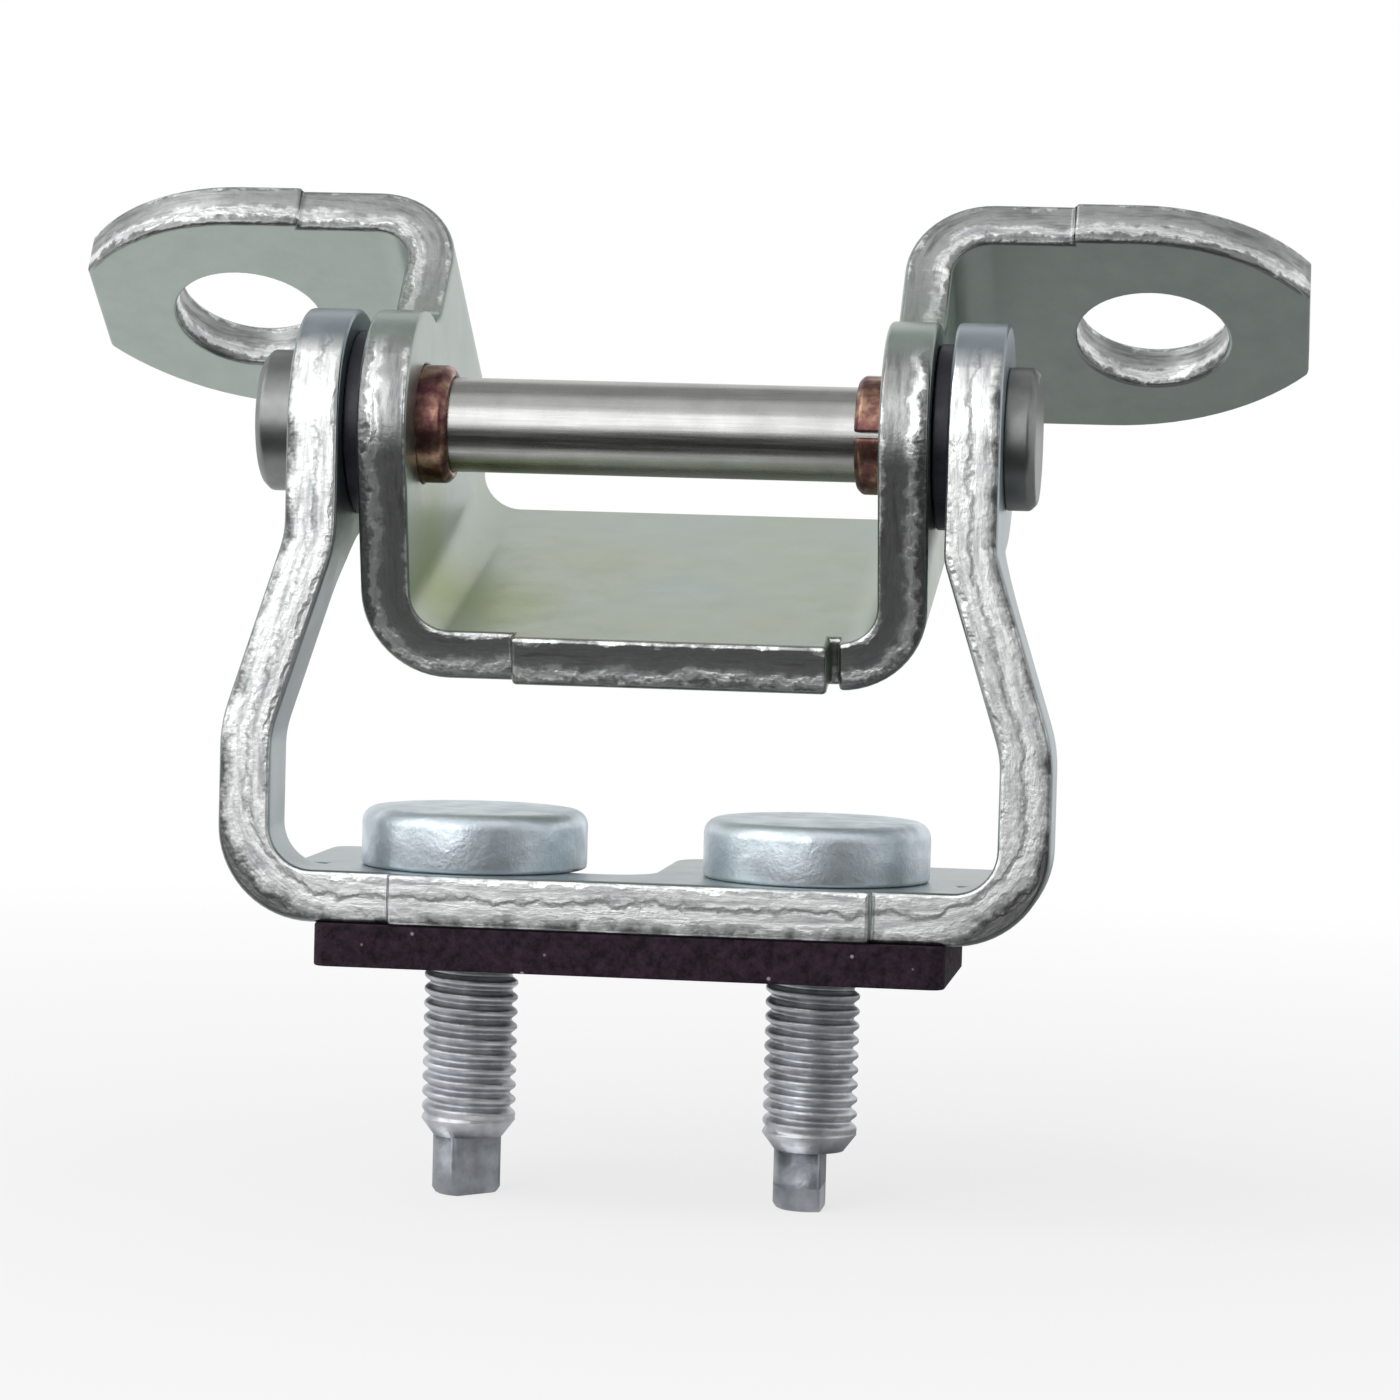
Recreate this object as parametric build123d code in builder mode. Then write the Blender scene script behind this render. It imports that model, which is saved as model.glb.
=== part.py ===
from build123d import *
import os
from math import cos, radians, sin, sqrt, tan

# sizes shared by the two brackets, in millimetres
pin_z = 45.5
pin_d = 8.0
ear_r = 9.6

# gate bracket
gate_t = 4.2
cheek_in = 19.7
cheek_out = cheek_in + gate_t
gate_bend_in = 3.2
gate_bend_out = gate_bend_in + gate_t
base_slope = 15.5
base_drop = 17.4
base_front_z = pin_z - base_drop
base_far_y = 31.0
tongue_left_x = -11.0
tongue_right_x = 15.6
tongue_step = 1.2
relief_w = 0.9
relief_depth = 1.6
flange_slope = 35.0
flange_near_y = 13.0
flange_rise = 16.9
flange_near_z = pin_z + flange_rise
flange_depth = 27.0
flange_tip = 54.3
flange_step_x = 34.0
flange_step = 0.5
near_curve_x = 39.5
near_curve_s = 7.2
far_curve_x = 36.6
far_curve_s = 18.4
gate_hole_x = 40.6
gate_hole_s = 13.7
gate_hole_d = 13.4
notch_angle = 58.0
notch_r = 3.0

# body bracket
body_t = 4.4
washer_t = 1.4
washer_gap = 0.1
arm_in = cheek_out + washer_gap + washer_t
arm_out = arm_in + body_t
foot_out = 34.9
joggle_drop = 9.5
joggle_top_z = pin_z - joggle_drop
joggle_low_z = 20.0
body_bend_out = 8.0
knee_in = 8.0
knee_out = knee_in + body_t
gasket_t = 3.6
web_top_z = gasket_t + body_t
web_front_y = -10.4
web_step_x = 20.2
web_back_y = 16.0
web_back_x = 30.0
web_corner_r = 2.0
strap_back_y = -3.0
strap_relief = 1.0
neck_r = 6.0
waist_left_x = -8.2
waist_right_x = 0.8
waist_y = -3.0
waist_r = 3.8
lobe_r = 3.0

# pin ends, bushes and washers
pin_head_d = 12.0
left_head_t = 3.6
right_head_t = 2.6
pin_head_chamfer = 0.6
bush_d = 10.0
bush_clear = 0.03
bush_bore_d = pin_d + 2 * bush_clear
bush_end_x = 17.2
bush_chamfer = 0.5
bush_seam = 0.5
washer_d = 15.6
washer_clear = 0.2
washer_bore_d = pin_d + 2 * washer_clear

# studs and gasket
stud_pitch = 29.3
stud_d = 8.0
stud_seat_d = 8.6
stud_head_d = 19.2
stud_head_t = 5.0
stud_head_chamfer = 1.0
thread_end_z = -13.6
cone_end_z = -15.0
pilot_d = 5.9
pilot_end_z = -20.0
pilot_chamfer = 0.5
pilot_flat = 1.3
left_flat_turn = -40.0
right_flat_turn = 0.0
gasket_len = 53.0
gasket_w = 20.6
gasket_corner_r = 1.2

os.makedirs("parts", exist_ok=True)

# planes and points worked out from the sizes
flange_plane = Plane(
    origin=(0, flange_near_y, flange_near_z),
    x_dir=(1, 0, 0),
    z_dir=(0, sin(radians(flange_slope)), cos(radians(flange_slope))),
)
flange_section = Plane(origin=flange_plane.origin, x_dir=(1, 0, 0), z_dir=-flange_plane.y_dir)
flange_near_fold = flange_plane.from_local_coords((0, 0, -gate_bend_in))
flange_far_fold = flange_plane.from_local_coords((0, flange_depth, -gate_bend_in))
notch_y = ear_r * cos(radians(notch_angle))
notch_z = pin_z + ear_r * sin(radians(notch_angle))
lean_y = -ear_r * cos(radians(base_slope))
lean_z = pin_z - ear_r * sin(radians(base_slope))
base_front_y = lean_y + (lean_z - base_front_z) * tan(radians(base_slope))
base_plane = Plane(
    origin=(0, base_front_y, base_front_z),
    x_dir=(1, 0, 0),
    z_dir=(0, -sin(radians(base_slope)), cos(radians(base_slope))),
)
base_section = Plane(origin=base_plane.origin, x_dir=(1, 0, 0), z_dir=-base_plane.y_dir)
base_depth = (base_far_y - base_front_y) / cos(radians(base_slope))
base_front_fold = base_plane.from_local_coords((0, 0, gate_bend_in))
base_far_fold = base_plane.from_local_coords((0, base_depth, gate_bend_in))
fold_lap = 2 * gate_bend_in
neck_y = strap_back_y + neck_r
neck_z = pin_z - sqrt((ear_r + neck_r) ** 2 - neck_y**2)
neck_share = ear_r / (ear_r + neck_r)
neck_top = (neck_y * neck_share, pin_z + (neck_z - pin_z) * neck_share)
web_flat_x = foot_out - body_bend_out

# gate bracket: flat cheeks with ears, folded in to one floor and out to two flanges
with BuildPart() as gate_bracket:
    with BuildSketch(Plane.YZ.offset(cheek_in)) as cheek_side:
        with BuildLine():
            Polyline(
                (lean_y, lean_z),
                (base_front_fold.Y, base_front_fold.Z),
                (base_far_fold.Y, base_far_fold.Z),
                (flange_far_fold.Y, flange_far_fold.Z),
                (flange_near_fold.Y, flange_near_fold.Z),
                (notch_y, notch_z),
                (0, pin_z),
                close=True,
            )
        make_face()
        with Locations((0, pin_z)):
            Circle(ear_r)
        fillet(cheek_side.vertices().sort_by_distance((notch_y, notch_z))[0], notch_r)
    extrude(amount=gate_t)
    with BuildSketch(flange_section) as flange_fold:
        with BuildLine() as flange_line:
            Polyline((cheek_in, -fold_lap), (cheek_in, gate_t), (flange_step_x, gate_t))
            fillet(flange_line.vertices().sort_by_distance((cheek_in, gate_t))[0], gate_bend_out)
            offset(amount=gate_t, side=Side.RIGHT)
        make_face()
    extrude(amount=-flange_depth)
    with BuildSketch(flange_plane) as flange_plan:
        with BuildLine():
            Polyline(
                (near_curve_x, -flange_step),
                (flange_step_x, -flange_step),
                (flange_step_x, flange_depth),
                (far_curve_x, flange_depth),
            )
            TangentArc((near_curve_x, -flange_step), (flange_tip, near_curve_s), tangent=(1, 0))
            Line((flange_tip, near_curve_s), (flange_tip, far_curve_s))
            TangentArc((far_curve_x, flange_depth), (flange_tip, far_curve_s), tangent=(1, 0))
        make_face()
    extrude(amount=gate_t)
    with BuildSketch(flange_plane) as gate_hole:
        with Locations((gate_hole_x, gate_hole_s)):
            Circle(gate_hole_d / 2)
    extrude(amount=gate_t, mode=Mode.SUBTRACT)
    mirror(about=Plane.YZ)
    with BuildSketch(base_section) as base_fold:
        with BuildLine() as base_line:
            Polyline(
                (-cheek_out, fold_lap),
                (-cheek_out, -gate_t),
                (cheek_out, -gate_t),
                (cheek_out, fold_lap),
            )
            fillet(base_line.vertices().group_by(Axis.Y)[0], gate_bend_out)
            offset(amount=gate_t, side=Side.LEFT)
        make_face()
    extrude(amount=-base_depth)
    # front lip of the floor, with a relief slot beside its right end
    with BuildSketch(base_plane) as tongue:
        with Locations((tongue_left_x, -tongue_step)):
            Rectangle(tongue_right_x - tongue_left_x, 2 * tongue_step, align=Align.MIN)
    extrude(amount=-gate_t)
    with BuildSketch(base_plane) as relief_slot:
        with Locations((tongue_right_x, -tongue_step)):
            Rectangle(relief_w, tongue_step + relief_depth, align=Align.MIN)
    extrude(amount=-2 * gate_t, mode=Mode.SUBTRACT)
    # holes for the bushes
    with BuildSketch(Plane.YZ) as bush_bores:
        with Locations((0, pin_z)):
            Circle(bush_d / 2)
    extrude(amount=cheek_out + gate_t, both=True, mode=Mode.SUBTRACT)

gate_bracket.part.label = "gate_bracket"
export_step(gate_bracket.part, "parts/gate_bracket.step")

# body bracket: one strip folded into a U whose arms step inward to the pin
with BuildPart() as body_bracket:
    with BuildSketch(Plane.XZ) as strip:
        with BuildLine() as strip_line:
            Polyline(
                (-arm_out, pin_z + ear_r),
                (-arm_out, joggle_top_z),
                (-foot_out, joggle_low_z),
                (-foot_out, gasket_t),
                (foot_out, gasket_t),
                (foot_out, joggle_low_z),
                (arm_out, joggle_top_z),
                (arm_out, pin_z + ear_r),
            )
            fillet(strip_line.vertices().group_by(Axis.Y)[0], body_bend_out)
            fillet(strip_line.vertices().filter_by_position(Axis.Y, joggle_low_z, joggle_low_z), knee_out)
            fillet(strip_line.vertices().filter_by_position(Axis.Y, joggle_top_z, joggle_top_z), knee_in)
            offset(amount=body_t, side=Side.LEFT)
        make_face()
    extrude(amount=ear_r, both=True)
    # side shape of the arms: a round ear on a narrow strap that keeps to its front
    with BuildSketch(Plane.YZ) as arm_side:
        with BuildLine():
            Polyline((-ear_r, pin_z), (-ear_r, 0), (strap_back_y, 0), (strap_back_y, neck_z))
            TangentArc((strap_back_y, neck_z), neck_top, tangent=(0, 1))
            ThreePointArc(neck_top, (0, pin_z + ear_r), (-ear_r, pin_z))
        make_face()
    extrude(amount=foot_out, both=True, mode=Mode.INTERSECT)
    # web plan: stepped front edge, a deep pad under each stud head and a waist between the pads
    pad_front_y = strap_back_y + strap_relief
    with BuildSketch(Plane.XY.offset(gasket_t)) as web_plan:
        with BuildLine():
            Polyline(
                (-web_step_x, web_front_y),
                (web_step_x, web_front_y),
                (web_step_x, -ear_r),
                (web_flat_x, -ear_r),
                (web_flat_x, pad_front_y),
                (web_back_x, pad_front_y),
                (web_back_x, web_back_y),
                (waist_right_x, web_back_y),
                (waist_right_x, waist_y),
                (waist_left_x, waist_y),
                (waist_left_x, web_back_y),
                (-web_back_x, web_back_y),
                (-web_back_x, pad_front_y),
                (-web_flat_x, pad_front_y),
                (-web_flat_x, -ear_r),
                (-web_step_x, -ear_r),
                close=True,
            )
        make_face()
        for waist_x in (waist_left_x, waist_right_x):
            fillet(web_plan.vertices().sort_by_distance((waist_x, waist_y))[0], waist_r)
            fillet(web_plan.vertices().sort_by_distance((waist_x, web_back_y))[0], lobe_r)
        for corner_x in (-web_back_x, web_back_x):
            fillet(web_plan.vertices().sort_by_distance((corner_x, web_back_y))[0], web_corner_r)
            fillet(web_plan.vertices().sort_by_distance((corner_x, pad_front_y))[0], web_corner_r)
    extrude(amount=body_t)
    with BuildSketch(Plane.XY) as stud_holes:
        with GridLocations(stud_pitch, 1, 2, 1):
            Circle(stud_seat_d / 2)
    extrude(amount=web_top_z, mode=Mode.SUBTRACT)
    with BuildSketch(Plane.YZ) as pin_bores:
        with Locations((0, pin_z)):
            Circle(pin_d / 2)
    extrude(amount=foot_out, both=True, mode=Mode.SUBTRACT)

body_bracket.part.label = "body_bracket"
export_step(body_bracket.part, "parts/body_bracket.step")

# hinge pin with a flat riveted head outside each arm
with BuildPart() as hinge_pin:
    with BuildSketch(Plane.YZ) as pin_round:
        with Locations((0, pin_z)):
            Circle(pin_d / 2)
    extrude(amount=arm_out, both=True)
    for way, head_t in ((-1, left_head_t), (1, right_head_t)):
        with BuildSketch(Plane.YZ.offset(way * arm_out)) as pin_head:
            with Locations((0, pin_z)):
                Circle(pin_head_d / 2)
        extrude(amount=way * head_t)
    head_ends = hinge_pin.faces().sort_by(Axis.X)
    chamfer(head_ends[0].edges() + head_ends[-1].edges(), pin_head_chamfer)

hinge_pin.part.label = "hinge_pin"
export_step(hinge_pin.part, "parts/hinge_pin.step")

# wrapped bushes pressed into the cheeks, seam at the front on the right and at the back on the left
for side, way in (("left", -1), ("right", 1)):
    with BuildPart() as bush:
        with BuildSketch(Plane.YZ.offset(way * bush_end_x)) as bush_ring:
            with Locations((0, pin_z)):
                Circle(bush_d / 2)
                Circle(bush_bore_d / 2, mode=Mode.SUBTRACT)
            with Locations((-way * bush_d / 2, pin_z)):
                Rectangle(bush_d / 2, bush_seam, mode=Mode.SUBTRACT)
        extrude(amount=way * (cheek_out - bush_end_x))
        bush_end = bush.faces().sort_by(lambda face: abs(face.center().X))[0]
        chamfer(bush_end.edges().sort_by(SortBy.LENGTH)[-1], bush_chamfer)
    bush.part.label = side + "_bush"
    export_step(bush.part, f"parts/{side}_bush.step")

# thrust washers resting against the inside of the arms
for side, way in (("left", -1), ("right", 1)):
    with BuildPart() as washer:
        with BuildSketch(Plane.YZ.offset(way * arm_in)) as washer_ring:
            with Locations((0, pin_z)):
                Circle(washer_d / 2)
                Circle(washer_bore_d / 2, mode=Mode.SUBTRACT)
        extrude(amount=-way * washer_t)
    washer.part.label = side + "_washer"
    export_step(washer.part, f"parts/{side}_washer.step")

# studs: flat head on the web, press-in seat, threaded shank, cone and flatted pilot
for side, way, flat_turn in (("left", -1, left_flat_turn), ("right", 1, right_flat_turn)):
    stud_x = way * stud_pitch / 2
    upward = (Align.CENTER, Align.CENTER, Align.MIN)
    with BuildPart() as stud:
        with Locations((stud_x, 0, web_top_z)):
            Cylinder(stud_head_d / 2, stud_head_t, align=upward)
        chamfer(stud.faces().sort_by(Axis.Z)[-1].edges(), stud_head_chamfer)
        with BuildSketch(Plane.XY) as stud_seat:
            with Locations((stud_x, 0)):
                Circle(stud_seat_d / 2)
        extrude(amount=web_top_z)
        with BuildSketch(Plane.XY) as stud_shank:
            with Locations((stud_x, 0)):
                Circle(stud_d / 2)
        extrude(amount=thread_end_z)
        with Locations((stud_x, 0, cone_end_z)):
            Cone(pilot_d / 2, stud_d / 2, thread_end_z - cone_end_z, align=upward)
        with BuildSketch(Plane.XY.offset(cone_end_z)) as stud_pilot:
            with Locations(Location((stud_x, 0), flat_turn)):
                Circle(pilot_d / 2)
                with Locations((pilot_flat, 0)):
                    Rectangle(pilot_d, pilot_d, align=(Align.MIN, Align.CENTER), mode=Mode.SUBTRACT)
        extrude(amount=pilot_end_z - cone_end_z)
        chamfer(stud.faces().sort_by(Axis.Z)[0].edges(), pilot_chamfer)
    stud.part.label = side + "_stud"
    export_step(stud.part, f"parts/{side}_stud.step")

# rubber gasket under the web
with BuildPart() as gasket:
    with BuildSketch() as gasket_plan:
        RectangleRounded(gasket_len, gasket_w, gasket_corner_r)
        with GridLocations(stud_pitch, 1, 2, 1):
            Circle(stud_seat_d / 2, mode=Mode.SUBTRACT)
    extrude(amount=gasket_t)

gasket.part.label = "gasket"
export_step(gasket.part, "parts/gasket.step")
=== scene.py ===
import bpy
from math import cos, pi, radians, sin
from mathutils import Matrix, Vector


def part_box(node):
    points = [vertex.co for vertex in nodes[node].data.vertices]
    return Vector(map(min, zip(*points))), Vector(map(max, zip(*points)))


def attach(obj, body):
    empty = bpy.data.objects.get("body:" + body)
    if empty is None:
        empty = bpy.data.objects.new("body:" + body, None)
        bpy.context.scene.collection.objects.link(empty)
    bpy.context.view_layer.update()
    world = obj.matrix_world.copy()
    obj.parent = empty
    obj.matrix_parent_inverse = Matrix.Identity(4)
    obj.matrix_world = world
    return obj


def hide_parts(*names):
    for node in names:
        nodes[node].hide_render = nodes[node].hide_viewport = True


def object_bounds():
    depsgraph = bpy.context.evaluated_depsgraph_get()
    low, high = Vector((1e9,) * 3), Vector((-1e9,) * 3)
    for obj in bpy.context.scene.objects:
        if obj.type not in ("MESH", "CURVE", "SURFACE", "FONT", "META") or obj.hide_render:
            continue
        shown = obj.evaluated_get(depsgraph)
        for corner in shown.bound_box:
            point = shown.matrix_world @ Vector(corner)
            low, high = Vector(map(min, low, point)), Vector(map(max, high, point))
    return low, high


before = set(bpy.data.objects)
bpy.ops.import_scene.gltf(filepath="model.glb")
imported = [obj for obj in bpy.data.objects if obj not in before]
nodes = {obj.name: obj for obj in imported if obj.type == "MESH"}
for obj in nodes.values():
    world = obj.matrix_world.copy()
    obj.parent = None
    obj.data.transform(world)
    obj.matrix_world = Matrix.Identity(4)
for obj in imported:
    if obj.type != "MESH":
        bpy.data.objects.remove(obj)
cad_lo, cad_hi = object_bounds()

# camera as fitted to the photograph, turned round the pin's middle; lengths in metres, angles in degrees
view_azimuth = 7.87
view_elevation = -0.14
view_distance = 0.4242
view_aim = Vector((0.00435, 0.0, 0.02278))
view_roll = 1.52
view_lens = 128.95
view_near = 0.01

# lie of the gate bracket's sheet, in metres and degrees
gate_thick = 0.0042
gate_bend = 0.0032
cheek_out = 0.0239
base_slope = 15.5
floor_under = 0.02425
flange_slope = 35.0
flange_under = 0.05857
flange_flat = 0.029

# lie of the body bracket's strip; body_turn is wider than the real fold, to spread the rims' dark outer band
# there as a painted reflection of dark surroundings
body_thick = 0.0044
body_turn = 0.0108
arm_out = 0.0298
foot_out = 0.0349
joggle_top = 0.036
joggle_low = 0.02
strap_back = -0.0025

# plating on the sheets' faces: cool tint, warm tone that ends between two heights, and one darker olive
# patch in a fold
gate_tint = (0.43, 0.49, 0.46, 1.0)
gate_warm = (0.42, 0.46, 0.32, 1.0)
body_tint = (0.4, 0.46, 0.5, 1.0)
body_warm = (0.42, 0.46, 0.45, 1.0)
warm_low = 0.03
warm_high = 0.05
fold_patch_spot = Vector((-0.0165, 0.0025, 0.0338))
fold_patch_reach = 0.0105
fold_patch_colour = (0.3, 0.36, 0.13, 1.0)

# sheared rims: (depth into the sheet, brightness) and (depth, height of the roll), both as shares; the
# brightness is partly the cut's own burnished and torn zones, partly painted highlight lines on the rolled
# edges and a painted dark outer edge
gate_rim_tones_and_sheen = (
    (0.0, 0.24), (0.16, 0.3), (0.24, 0.95), (0.36, 0.9), (0.46, 0.45), (0.7, 0.36), (0.9, 0.4), (0.98, 0.95),
)
gate_profile = ((0.0, 0.0), (0.2, 0.9), (0.24, 1.0), (0.36, 0.6), (0.9, 0.6), (1.0, 0.2))
body_rim_tones_and_sheen = ((0.0, 0.2), (0.1, 0.55), (0.22, 1.0), (0.5, 1.0), (0.57, 0.55), (0.66, 0.95), (0.98, 0.85))
body_profile = ((0.0, 0.0), (0.1, 0.35), (0.28, 0.6), (0.5, 0.6), (0.6, 0.78), (0.9, 0.78), (1.0, 0.4))
band_wave = 0.28
band_crumble = 0.2
streak_step = 0.03
streak_dark = (0.54, 0.56, 0.57)
streak_light = (0.98, 1.0, 0.985)
roll_height = 0.00017

# joining and rolling the edges of the CAD pieces, in metres and degrees
weld_reach = 0.000002
whole_angle = 0.6
edge_angle = 38.0
bevel_steps = 3
rim_bevel = 0.0004
small_bevel = 0.0002

# the turned studs, in metres and degrees
head_thick = 0.005
head_round = 0.0013
head_under_round = 0.0004
seat_r = 0.0043
shank_r = 0.004
thread_pitch = 0.00125
thread_depth = 0.0005
thread_fade = 0.0011
thread_sharpness = 1.4
thread_end = -0.0136
cone_end = -0.015
pilot_r = 0.00295
pilot_flat = 0.0013
pilot_round = 0.0005
left_flat_turn = -40.0
right_flat_turn = 0.0
rows_per_pitch = 12
round_steps = 5
turn_steps = 72

# floor, surround and mirrored cards, in metres
floor_size = 8.0
paper_colour = (0.9, 0.9, 0.9, 1.0)
glow_near = 0.05
glow_far = 0.3
glow_least = 0.72
surround_light = 0.45
card_lift = 0.002

white = (1.0, 1.0, 1.0, 1.0)
upward = Vector((0, 0, 1))
backward = Vector((0, 1, 0))
part_middle = (cad_lo + cad_hi) / 2
pin_lo, pin_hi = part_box("hinge_pin")
pin_middle = Vector((0, 0, (pin_lo[2] + pin_hi[2]) / 2))
gasket_lo, gasket_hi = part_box("gasket")


# one shader node, with its sockets set or linked
def node(tree, kind, sockets=None, **settings):
    made = tree.nodes.new(kind)
    for name, value in settings.items():
        setattr(made, name, value)
    for name, value in (sockets or {}).items():
        if isinstance(value, bpy.types.NodeSocket):
            tree.links.new(value, made.inputs[name])
        else:
            made.inputs[name].default_value = value
    return made


# a material with its shader, and the object's own coordinates to lay patterns in
def material(name, **shader):
    made = bpy.data.materials.new(name)
    made.use_nodes = True
    tree = made.node_tree
    surface = tree.nodes["Principled BSDF"]
    for socket, value in shader.items():
        surface.inputs[socket.replace("_", " ")].default_value = value
    place = node(tree, "ShaderNodeTexCoord").outputs["Object"]
    return made, tree, surface, place


# links the colour, roughness and normal of a finish to its shader
def wire(tree, surface, colour, rough, normal):
    tree.links.new(colour, surface.inputs["Base Color"])
    tree.links.new(rough, surface.inputs["Roughness"])
    tree.links.new(normal, surface.inputs["Normal"])


def noise(tree, place, scale, detail=3.0, rough=0.55):
    return node(
        tree,
        "ShaderNodeTexNoise",
        {"Vector": place, "Scale": scale, "Detail": detail, "Roughness": rough},
    ).outputs["Fac"]


# a ramp through (position, colour) stops
def ramp(tree, fac, *stops):
    made = node(tree, "ShaderNodeValToRGB", {"Fac": fac})
    points = made.color_ramp.elements
    while len(points) < len(stops):
        points.new(0.5)
    for point, (position, colour) in zip(points, stops):
        point.position = position
        point.color = (*colour, 1.0)
    return made.outputs["Color"]


def grey(value):
    return (value, value, value)


# a ramp over the middle of a noise's range
def spread(tree, fac, low, high):
    return ramp(tree, fac, (0.3, low), (0.7, high))


# a ramp of greys through (position, level) stops
def levels(tree, fac, stops):
    return ramp(tree, fac, *((position, grey(level)) for position, level in stops))


# a value carried from one range to another and held at its ends
def carry(tree, value, start, end, low=0.0, high=1.0):
    return node(
        tree,
        "ShaderNodeMapRange",
        {"Value": value, "From Min": start, "From Max": end, "To Min": low, "To Max": high},
    ).outputs["Result"]


# a noise carried to both sides of zero
def both_ways(tree, fac, reach):
    return carry(tree, fac, 0.0, 1.0, -reach, reach)


def mix(tree, fac, low, high):
    return node(
        tree, "ShaderNodeMixRGB", {"Fac": fac, "Color1": low, "Color2": high}
    ).outputs["Color"]


def times(tree, first, second):
    return node(
        tree, "ShaderNodeMixRGB", {"Fac": 1.0, "Color1": first, "Color2": second}, blend_type="MULTIPLY"
    ).outputs["Color"]


def bump(tree, height, strength, distance, under=None):
    made = node(tree, "ShaderNodeBump", {"Height": height, "Strength": strength, "Distance": distance})
    if under:
        tree.links.new(under, made.inputs["Normal"])
    return made.outputs["Normal"]


def stretch(tree, place, scale):
    return node(tree, "ShaderNodeMapping", {"Vector": place, "Scale": scale}).outputs["Vector"]


def axis(tree, vector, name):
    return node(tree, "ShaderNodeSeparateXYZ", {"Vector": vector}).outputs[name]


def maths(tree, operation, first, second=0.0):
    return node(tree, "ShaderNodeMath", {0: first, 1: second}, operation=operation).outputs[0]


# a number worked out from two vectors
def measure(tree, operation, first, second=(0.0, 0.0, 0.0)):
    return node(tree, "ShaderNodeVectorMath", {0: first, 1: second}, operation=operation).outputs["Value"]


# the way that a plane faces when it leans about the X axis
def leaning(slope):
    return (0.0, sin(radians(slope)), cos(radians(slope)))


# height of a point over a leaning plane
def over_plane(tree, place, slope, level):
    return maths(tree, "SUBTRACT", measure(tree, "DOT_PRODUCT", place, leaning(slope)), level)


# how far a point lies inside a straight wall on either hand
def inside_wall(tree, place, wall):
    across = maths(tree, "ABSOLUTE", axis(tree, place, "X"))
    return maths(tree, "SUBTRACT", wall, across)


# length of the two parts of an offset that are above zero
def reach_of(tree, first, second):
    above = {
        "X": maths(tree, "MAXIMUM", first),
        "Y": maths(tree, "MAXIMUM", second),
    }
    return measure(tree, "LENGTH", node(tree, "ShaderNodeCombineXYZ", above).outputs["Vector"])


# depth into a sheet folded round its inner side, from the depths into its two flats
def folded_in(tree, first, second, outer_bend):
    left = maths(tree, "SUBTRACT", outer_bend, first)
    right = maths(tree, "SUBTRACT", outer_bend, second)
    return maths(tree, "SUBTRACT", outer_bend, reach_of(tree, left, right))


# depth into a sheet folded round its outer side, from the depths into its two flats
def folded_out(tree, first, second, inner_bend):
    left = maths(tree, "ADD", inner_bend, first)
    right = maths(tree, "ADD", inner_bend, second)
    return maths(tree, "SUBTRACT", reach_of(tree, left, right), inner_bend)


# depth into the gate bracket's sheet from its outer side, as a share of the thickness
def gate_depth(tree, place):
    cheek = inside_wall(tree, place, cheek_out)
    floor_up = over_plane(tree, place, -base_slope, floor_under)
    flange_up = over_plane(tree, place, flange_slope, flange_under)
    cup = folded_in(tree, cheek, floor_up, gate_bend + gate_thick)
    return maths(tree, "DIVIDE", folded_out(tree, cup, flange_up, gate_bend), gate_thick)


# depth into the body bracket's strip from its outer side, as a share of the thickness
def body_depth(tree, place):
    height = axis(tree, place, "Z")
    arm = inside_wall(tree, place, carry(tree, height, joggle_low, joggle_top, foot_out, arm_out))
    web = maths(tree, "SUBTRACT", height, gasket_hi[2])
    # body_turn lowers the depth over the folds, so the rims' painted dark outer band widens there
    return maths(tree, "DIVIDE", folded_in(tree, arm, web, body_turn), body_thick)


# 1 where a surface stands square to a sheet that faces one way
def square_to(tree, facing, sheet_normal):
    along = maths(tree, "ABSOLUTE", measure(tree, "DOT_PRODUCT", facing, sheet_normal))
    return levels(tree, along, ((0.3, 1.0), (0.55, 0.0)))


# the flanges' cut rims, round their tips and holes
def gate_cut(tree, place, facing):
    beyond = maths(tree, "GREATER_THAN", 0.0, inside_wall(tree, place, flange_flat))
    return maths(tree, "MULTIPLY", beyond, square_to(tree, facing, leaning(flange_slope)))


# the cut rims of the web's pads, behind the arms
def body_cut(tree, place, facing):
    low = maths(tree, "LESS_THAN", axis(tree, place, "Z"), gasket_hi[2] + body_thick - small_bevel)
    behind = maths(tree, "GREATER_THAN", axis(tree, place, "Y"), strap_back)
    there = maths(tree, "MULTIPLY", low, behind)
    return maths(tree, "MULTIPLY", there, square_to(tree, facing, upward))


# 1 on the sheared rims of a bracket, 0 on its faces
def rim_share(tree, place, cut):
    facing = node(tree, "ShaderNodeTexCoord").outputs["Normal"]
    front = maths(tree, "ABSOLUTE", axis(tree, facing, "Y"))
    sheared = levels(tree, front, ((0.62, 0.0), (0.8, 1.0)))
    return maths(tree, "MAXIMUM", sheared, cut(tree, place, facing))


# colour and roughness of a sheet's faces: mottled, with warm patches low down and the darker olive patch in
# the fold
def sheet_face(tree, place, tint, warm):
    mottle = noise(tree, place, scale=330.0, detail=5.0, rough=0.65)
    patch = levels(tree, noise(tree, place, scale=62.0), ((0.3, 0.0), (0.72, 1.0)))
    low = carry(tree, axis(tree, place, "Z"), warm_low, warm_high, 1.0, 0.0)
    plated = mix(tree, maths(tree, "MULTIPLY", patch, low), tint, warm)
    fold_patch_share = carry(tree, measure(tree, "DISTANCE", place, fold_patch_spot), 0.0, fold_patch_reach, 1.0, 0.0)
    sheet = mix(tree, fold_patch_share, plated, fold_patch_colour)
    worn = spread(tree, mottle, grey(0.84), grey(1.0))
    return times(tree, sheet, worn), spread(tree, mottle, grey(0.3), grey(0.42))
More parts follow.
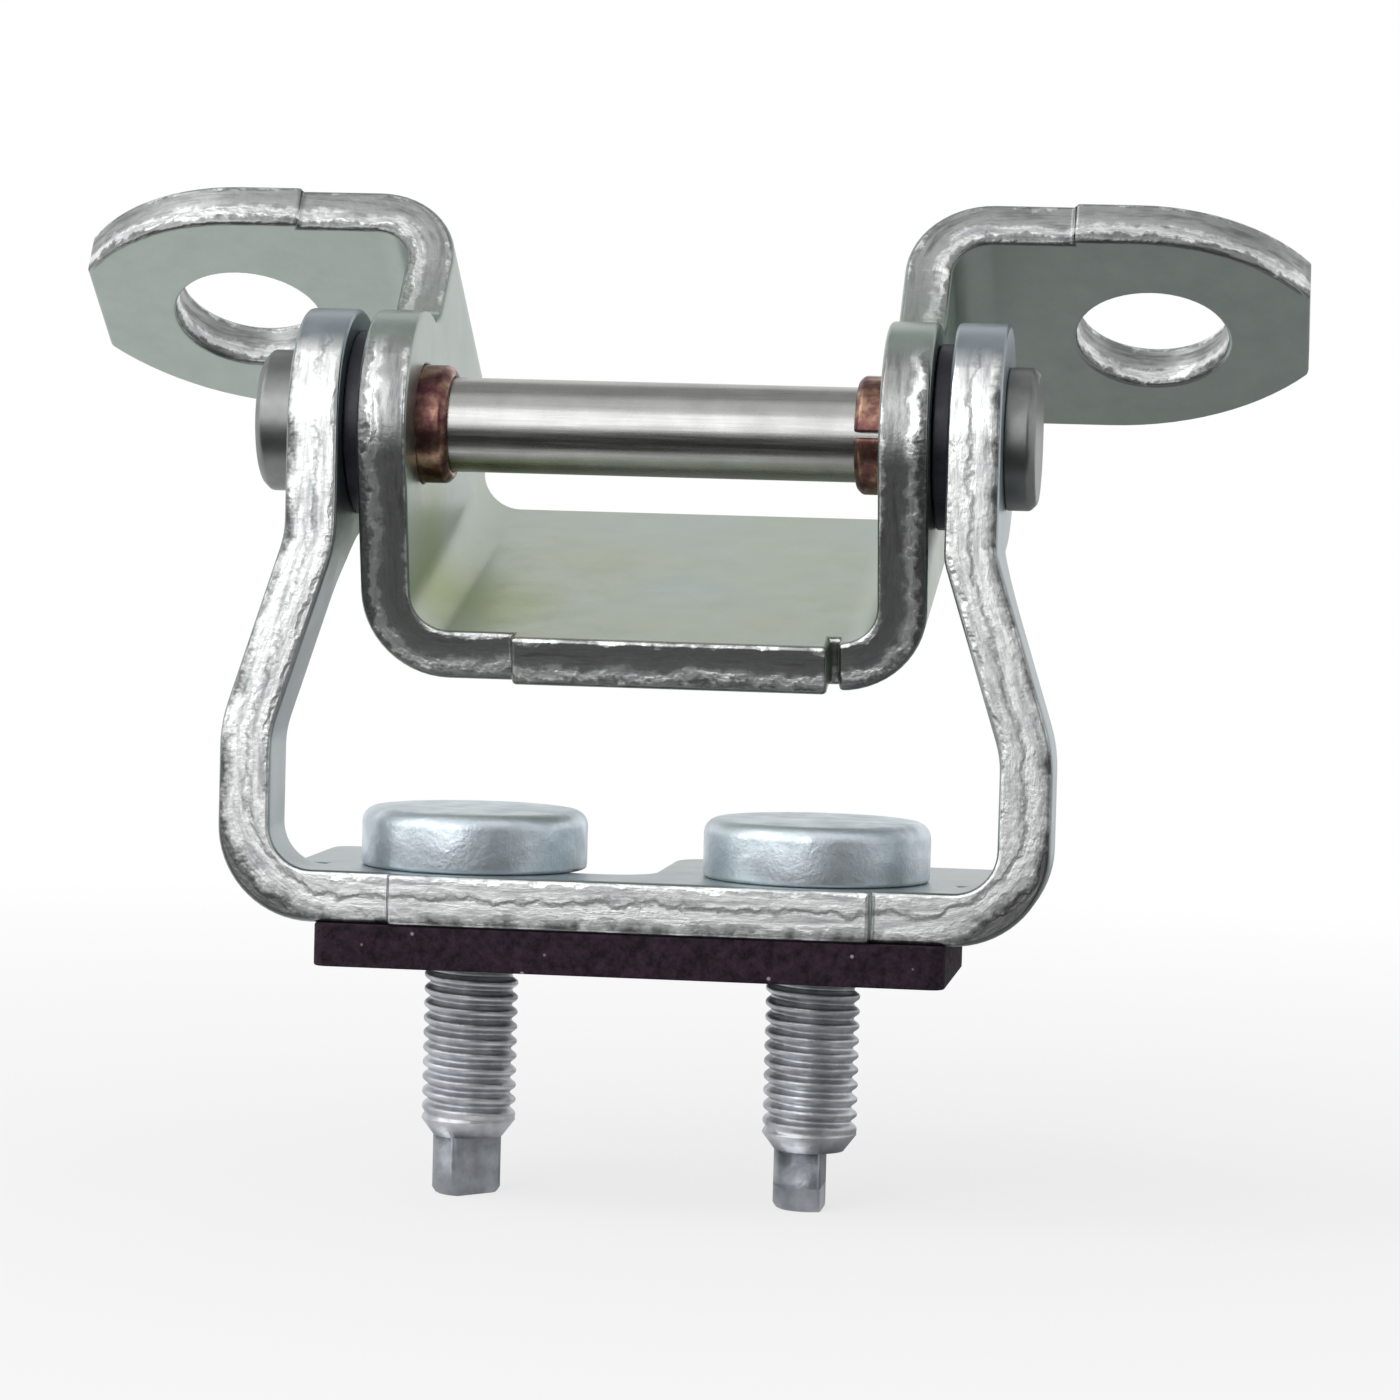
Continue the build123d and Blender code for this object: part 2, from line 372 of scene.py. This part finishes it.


# colour, roughness, roll and tearing of a sheet's rims: bands across the sheet, partly the cut's own zones
# and partly painted highlight and shade, broken by streaks along it
def sheet_rim(tree, place, depth, bands, profile):
    torn = noise(tree, place, scale=1000.0, detail=5.0, rough=0.65)
    into = depth(tree, place)
    lie = maths(tree, "ADD", into, both_ways(tree, noise(tree, place, scale=380.0), band_wave))
    band = maths(tree, "ADD", lie, both_ways(tree, torn, band_crumble))
    layer = maths(tree, "MULTIPLY", into, streak_step)
    streak = node(
        tree,
        "ShaderNodeTexNoise",
        {"Vector": place, "W": layer, "Scale": 240.0, "Detail": 4.0, "Roughness": 0.6},
        noise_dimensions="4D",
    ).outputs["Fac"]
    broken = ramp(tree, streak, (0.34, streak_dark), (0.54, streak_light))
    # painted highlight and shade: the bands' light lines and dark outer edge stand in for the lamp's glint
    # and for dark reflections
    colour = times(tree, levels(tree, band, bands), broken)
    rough = levels(tree, streak, ((0.35, 0.46), (0.65, 0.32)))
    return colour, rough, levels(tree, lie, profile), maths(tree, "ADD", torn, streak)


# bright zinc plating on a folded sheet
def zinc_sheet(name, tint, warm, depth, cut, bands, profile):
    made, tree, surface, place = material(name, Metallic=1.0)
    rim = rim_share(tree, place, cut)
    face_colour, face_rough = sheet_face(tree, place, tint, warm)
    rim_colour, rim_rough, rolled, tearing = sheet_rim(tree, place, depth, bands, profile)
    speckle = noise(tree, place, scale=2200.0, rough=0.7)
    fine = bump(tree, speckle, strength=0.22, distance=0.00005)
    rolled_rim = maths(tree, "MULTIPLY", rolled, rim)
    shaped = bump(tree, rolled_rim, strength=1.0, distance=roll_height, under=fine)
    torn_rim = maths(tree, "MULTIPLY", tearing, rim)
    wire(
        tree,
        surface,
        mix(tree, rim, face_colour, rim_colour),
        mix(tree, rim, face_rough, rim_rough),
        bump(tree, torn_rim, strength=0.28, distance=0.00014, under=shaped),
    )
    return made


# plain zinc on the studs: bluish heads, grey threads and dull pilots
def zinc_stud():
    made, tree, surface, place = material("stud_zinc", Metallic=1.0)
    cloud = noise(tree, place, scale=420.0, detail=4.0)
    grain = noise(tree, place, scale=2600.0, rough=0.7)
    height = axis(tree, place, "Z")
    head = spread(tree, cloud, (0.57, 0.64, 0.69), (0.73, 0.8, 0.85))
    shank = spread(tree, cloud, (0.34, 0.35, 0.375), (0.62, 0.64, 0.67))
    pilot = spread(tree, cloud, (0.2, 0.21, 0.23), (0.34, 0.36, 0.39))
    lower = mix(tree, carry(tree, height, thread_end, cone_end), shank, pilot)
    forged = bump(tree, cloud, strength=0.3, distance=0.0004)
    wire(
        tree,
        surface,
        mix(tree, carry(tree, height, gasket_lo[2], gasket_hi[2]), lower, head),
        spread(tree, cloud, grey(0.5), grey(0.36)),
        bump(tree, grain, strength=0.3, distance=0.00008, under=forged),
    )
    return made


# polished pin with a fine grain along it, and duller formed heads
def turned_steel():
    made, tree, surface, place = material("turned_steel", Metallic=1.0)
    grain = noise(tree, stretch(tree, place, (0.03, 1.0, 1.0)), scale=3600.0, detail=2.0)
    cloud = noise(tree, place, scale=300.0)
    head = maths(tree, "GREATER_THAN", 0.0, inside_wall(tree, place, arm_out))
    polished = spread(tree, cloud, (0.36, 0.36, 0.35), (0.44, 0.44, 0.43))
    dull = spread(tree, cloud, (0.19, 0.2, 0.195), (0.29, 0.3, 0.295))
    polish = spread(tree, grain, grey(0.22), grey(0.34))
    wire(
        tree,
        surface,
        mix(tree, head, polished, dull),
        mix(tree, head, polish, (*grey(0.4), 1.0)),
        bump(tree, grain, strength=0.08, distance=0.00002),
    )
    return made


# bronze bushes, browned and purple in patches, with gold patches that are a painted highlight
def bronze():
    made, tree, surface, place = material("bush_bronze", Metallic=1.0)
    patch = noise(tree, place, scale=640.0, detail=4.0)
    grain = noise(tree, place, scale=2400.0)
    purple = (0.09, 0.035, 0.045)
    brown = (0.2, 0.1, 0.085)
    # the gold patches are a painted highlight, placed by the noise
    gold_highlight = (0.42, 0.27, 0.19)
    wire(
        tree,
        surface,
        ramp(tree, patch, (0.34, purple), (0.5, brown), (0.66, gold_highlight)),
        spread(tree, patch, grey(0.42), grey(0.27)),
        bump(tree, grain, strength=0.25, distance=0.00005),
    )
    return made


# black plastic washers
def washer_plastic():
    made, tree, surface, place = material("washer_plastic")
    cloud = noise(tree, place, scale=700.0, detail=4.0)
    wire(
        tree,
        surface,
        spread(tree, cloud, (0.006, 0.006, 0.012), (0.018, 0.018, 0.036)),
        spread(tree, cloud, grey(0.36), grey(0.55)),
        bump(tree, cloud, strength=0.3, distance=0.00008),
    )
    return made


# dark foam rubber with open pores and a few pale specks
def foam_rubber():
    made, tree, surface, place = material("foam_rubber", Specular_IOR_Level=0.25)
    pores = noise(tree, place, scale=1500.0, detail=4.0, rough=0.65)
    cells = node(
        tree, "ShaderNodeTexVoronoi", {"Vector": place, "Scale": 420.0, "Randomness": 1.0}
    ).outputs["Distance"]
    specks = levels(tree, cells, ((0.05, 1.0), (0.09, 0.0)))
    body = ramp(tree, pores, (0.35, (0.007, 0.003, 0.007)), (0.65, (0.028, 0.012, 0.027)))
    pale = (0.3, 0.25, 0.29, 1.0)
    wire(
        tree,
        surface,
        mix(tree, specks, body, pale),
        spread(tree, pores, grey(0.9), grey(0.68)),
        bump(tree, pores, strength=0.7, distance=0.00025),
    )
    return made


# a CAD node keeps its mesh: joined, flattened to whole faces, its edges rolled, and given its finish
def dress(name, finish, edge):
    piece = nodes[name]
    weld = piece.modifiers.new("join", "WELD")
    weld.merge_threshold = weld_reach
    whole = piece.modifiers.new("whole_faces", "DECIMATE")
    whole.decimate_type = "DISSOLVE"
    whole.angle_limit = radians(whole_angle)
    roll = piece.modifiers.new("rolled_edges", "BEVEL")
    roll.width = edge
    roll.segments = bevel_steps
    roll.limit_method = "ANGLE"
    roll.angle_limit = radians(edge_angle)
    roll.use_clamp_overlap = False
    for face in piece.data.polygons:
        face.use_smooth = True
    shade = piece.modifiers.new("even_shading", "WEIGHTED_NORMAL")
    shade.keep_sharp = True
    piece.data.materials.clear()
    piece.data.materials.append(finish)


turn_angles = [2 * pi * step / turn_steps for step in range(turn_steps)]
round_angles = [pi / 2 * step / round_steps for step in range(round_steps + 1)]


def plain_ring(radius, z):
    return [(radius * cos(a), radius * sin(a), z) for a in turn_angles]


# a ring cut back to one flat, for the pilot
def flat_ring(radius, z, flat_turn):
    ring = []
    for a in turn_angles:
        toward = cos(a - radians(flat_turn))
        reach = min(radius, pilot_flat / toward) if toward > 0 else radius
        ring.append((reach * cos(a), reach * sin(a), z))
    return ring


# a ring of the rolled thread, which fades out at both its ends
def thread_ring(z):
    depth = thread_depth * min(1.0, -z / thread_fade, (z - thread_end) / thread_fade)
    ring = []
    for a in turn_angles:
        phase = (a / (2 * pi) + z / thread_pitch) % 1.0
        groove = 0.5 + 0.5 * cos(2 * pi * phase)
        radius = shank_r - depth * groove**thread_sharpness
        ring.append((radius * cos(a), radius * sin(a), z))
    return ring


# the rings of a stud from the top down: rounded head, seat, thread, cone and pilot
def stud_rings(head_r, top_z, end_z, flat_turn):
    seat_z = top_z - head_thick
    thread_rows = round(-thread_end / thread_pitch * rows_per_pitch)
    rings = [plain_ring(head_r - 2 * head_round, top_z)]
    for bend in round_angles:
        rings.append(plain_ring(head_r - head_round * (1 - sin(bend)), top_z - head_round * (1 - cos(bend))))
    for bend in round_angles:
        under_r = head_r - head_under_round * (1 - cos(bend))
        rings.append(plain_ring(under_r, seat_z + head_under_round * (1 - sin(bend))))
    rings.append(plain_ring(seat_r, seat_z))
    rings.append(plain_ring(seat_r, gasket_lo[2]))
    for step in range(thread_rows + 1):
        rings.append(thread_ring(thread_end * step / thread_rows))
    rings.append(plain_ring(pilot_r, cone_end))
    rings.append(flat_ring(pilot_r, cone_end, flat_turn))
    rings.append(flat_ring(pilot_r, end_z + pilot_round, flat_turn))
    rings.append(flat_ring(pilot_r - pilot_round / 2, end_z + pilot_round / 4, flat_turn))
    rings.append(flat_ring(pilot_r - pilot_round, end_z, flat_turn))
    return rings


# the faces between rings that follow each other, closed at both ends
def ring_faces(point_count):
    last = point_count - turn_steps
    faces = [list(range(turn_steps))]
    for first in range(0, last, turn_steps):
        below = first + turn_steps
        for step in range(turn_steps):
            after = (step + 1) % turn_steps
            faces.append((first + step, below + step, below + after, first + after))
    faces.append(list(reversed(range(last, last + turn_steps))))
    return faces


# one turned stud in place of the plain one
def stud(name, flat_turn, finish):
    lo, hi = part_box(name)
    centre_x = (lo[0] + hi[0]) / 2
    centre_y = (lo[1] + hi[1]) / 2
    rings = stud_rings((hi[0] - lo[0]) / 2, hi[2], lo[2], flat_turn)
    points = [(x + centre_x, y + centre_y, z) for ring in rings for x, y, z in ring]
    mesh = bpy.data.meshes.new(name + "_turned")
    mesh.from_pydata(points, [], ring_faces(len(points)))
    mesh.update()
    for face in mesh.polygons[1:-1]:
        face.use_smooth = True
    piece = bpy.data.objects.new(name + "_turned", mesh)
    bpy.context.collection.objects.link(piece)
    mesh.materials.append(finish)
    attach(piece, "body_side")
    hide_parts(name)


# 1 for the rays that look at the surround or mirror it, 0 for those that light the part
def seen_rays(tree):
    path = node(tree, "ShaderNodeLightPath").outputs
    mirrored = maths(tree, "ADD", path["Is Glossy Ray"], path["Is Transmission Ray"])
    return node(
        tree, "ShaderNodeMath", {0: path["Is Camera Ray"], 1: mirrored}, operation="ADD", use_clamp=True
    ).outputs[0]


# the node tree of a material or of the world, emptied
def bare_tree(owner):
    owner.use_nodes = True
    owner.node_tree.nodes.clear()
    return owner.node_tree


# white floor under the stud ends, a little darker near them to keep the part's shadow
def white_floor():
    bpy.ops.mesh.primitive_plane_add(size=floor_size, location=(0, 0, cad_lo[2]))
    floor = bpy.context.object
    floor.name = "floor"
    paper = bpy.data.materials.new("floor_white")
    tree = bare_tree(paper)
    spot = node(tree, "ShaderNodeTexCoord").outputs["Object"]
    fade = carry(tree, measure(tree, "LENGTH", spot), glow_near, glow_far, glow_least, 1.0)
    plain = node(tree, "ShaderNodeBsdfDiffuse", {"Color": paper_colour})
    glow = node(tree, "ShaderNodeEmission", {"Color": white, "Strength": 1.0})
    blend = node(
        tree,
        "ShaderNodeMixShader",
        {0: maths(tree, "MULTIPLY", seen_rays(tree), fade), 1: plain.outputs[0], 2: glow.outputs[0]},
    )
    node(tree, "ShaderNodeOutputMaterial", {"Surface": blend.outputs[0]})
    floor.data.materials.append(paper)


# a soft surround that lights the part gently and looks white
def soft_surround():
    world = bpy.data.worlds.new("studio")
    bpy.context.scene.world = world
    tree = bare_tree(world)
    strength = carry(tree, seen_rays(tree), 0.0, 1.0, surround_light, 1.0)
    sky = node(tree, "ShaderNodeBackground", {"Color": white, "Strength": strength})
    node(tree, "ShaderNodeOutputWorld", {"Surface": sky.outputs[0]})


# a square soft lamp, turned to the part's middle
def lamp(name, place, size, power):
    data = bpy.data.lights.new(name, "AREA")
    data.shape = "SQUARE"
    data.size = size
    data.energy = power
    made = bpy.data.objects.new(name, data)
    bpy.context.collection.objects.link(made)
    made.location = place
    made.rotation_euler = (part_middle - made.location).to_track_quat("-Z", "Y").to_euler()


# a grey card that the metal mirrors, out of the camera's own sight
def card(name, place, width, height, facing, level):
    bpy.ops.mesh.primitive_plane_add(size=1.0)
    made = bpy.context.object
    made.name = name
    made.scale = (width, height, 1.0)
    made.location = place
    made.rotation_euler = facing.to_track_quat("Z", "Y").to_euler()
    sheet = bpy.data.materials.new(name)
    tree = bare_tree(sheet)
    shade = node(tree, "ShaderNodeEmission", {"Color": (*grey(level), 1.0), "Strength": 1.0})
    node(tree, "ShaderNodeOutputMaterial", {"Surface": shade.outputs[0]})
    made.data.materials.append(sheet)
    made.visible_camera = False
    made.visible_shadow = False
    made.visible_diffuse = False


# the fitted camera
def fitted_camera():
    data = bpy.data.cameras.new("camera")
    data.lens = view_lens
    data.clip_start = view_near
    camera = bpy.data.objects.new("camera", data)
    bpy.context.collection.objects.link(camera)
    azimuth = radians(view_azimuth)
    elevation = radians(view_elevation)
    camera.location = pin_middle + view_distance * Vector(
        (sin(azimuth) * cos(elevation), -cos(azimuth) * cos(elevation), sin(elevation))
    )
    turn = (view_aim - camera.location).to_track_quat("-Z", "Y").to_matrix()
    camera.rotation_euler = (turn @ Matrix.Rotation(radians(view_roll), 3, "Z")).to_euler()
    bpy.context.scene.camera = camera


# the part in its finishes
sheet_gate = zinc_sheet("zinc_gate", gate_tint, gate_warm, gate_depth, gate_cut, gate_rim_tones_and_sheen, gate_profile)
sheet_body = zinc_sheet("zinc_body", body_tint, body_warm, body_depth, body_cut, body_rim_tones_and_sheen, body_profile)
dress("gate_bracket", sheet_gate, rim_bevel)
dress("body_bracket", sheet_body, rim_bevel)
dress("hinge_pin", turned_steel(), small_bevel)
bush_finish = bronze()
for bush in ("left_bush", "right_bush"):
    dress(bush, bush_finish, small_bevel)
washer_finish = washer_plastic()
for washer in ("left_washer", "right_washer"):
    dress(washer, washer_finish, small_bevel)
dress("gasket", foam_rubber(), small_bevel)
stud_finish = zinc_stud()
stud("left_stud", left_flat_turn, stud_finish)
stud("right_stud", right_flat_turn, stud_finish)

# the studio round it: floor, surround, lamps, cards on the floor, overhead and behind the camera, and camera
card_z = cad_lo[2] + card_lift
white_floor()
soft_surround()
lamp("top", place=(-0.45, -0.1, 0.55), size=0.4, power=0.7)
lamp("front", place=(-0.33, -0.85, 0.36), size=0.72, power=3.9)
lamp("side", place=(-0.7, -0.3, 0.25), size=0.4, power=0.8)
card("table_card", Vector((0.0, -0.27, card_z)), width=1.2, height=0.46, facing=upward, level=0.05)
card("right_floor_card", Vector((0.2, 0.12, card_z)), width=0.38, height=0.3, facing=upward, level=0.36)
card("ceiling_card", Vector((0.0, 0.3, 0.9)), width=2.4, height=0.9, facing=-upward, level=0.45)
card("room_card", Vector((0.0, -1.2, 0.5)), width=3.0, height=1.04, facing=backward, level=0.2)
fitted_camera()
bpy.context.scene.view_settings.view_transform = "Standard"
